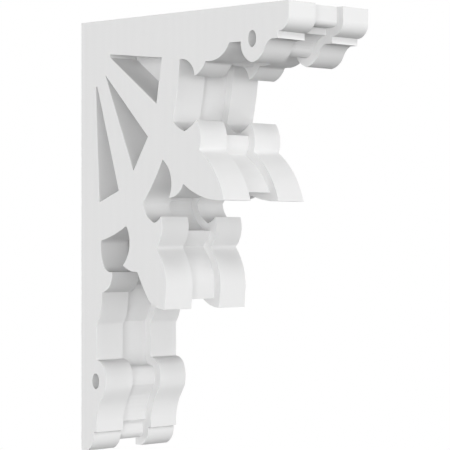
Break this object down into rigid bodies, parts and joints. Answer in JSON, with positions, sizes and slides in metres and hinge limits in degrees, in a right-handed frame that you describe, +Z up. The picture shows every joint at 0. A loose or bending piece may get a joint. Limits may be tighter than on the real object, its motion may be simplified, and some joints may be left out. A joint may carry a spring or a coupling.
{
  "type": "corbel",
  "caption": "Laminated ornamental bracket corbel with a pierced scroll outline, painted matt white; it fixes to a wall and carries an eave, a beam or a shelf.",
  "frame": {"origin": "centre of the wall face, at half the width and half the height", "axes": "+X out from the wall, +Y across the width, +Z up; the left side board is on the -Y side"},
  "size_m": [0.4064, 0.1556, 0.6096],
  "materials": {
    "painted_board": "matt white paint"
  },
  "bodies": {
    "root": {"left_side_board": "painted_board", "centre_board": "painted_board", "right_side_board": "painted_board"}
  },
  "joints": []
}
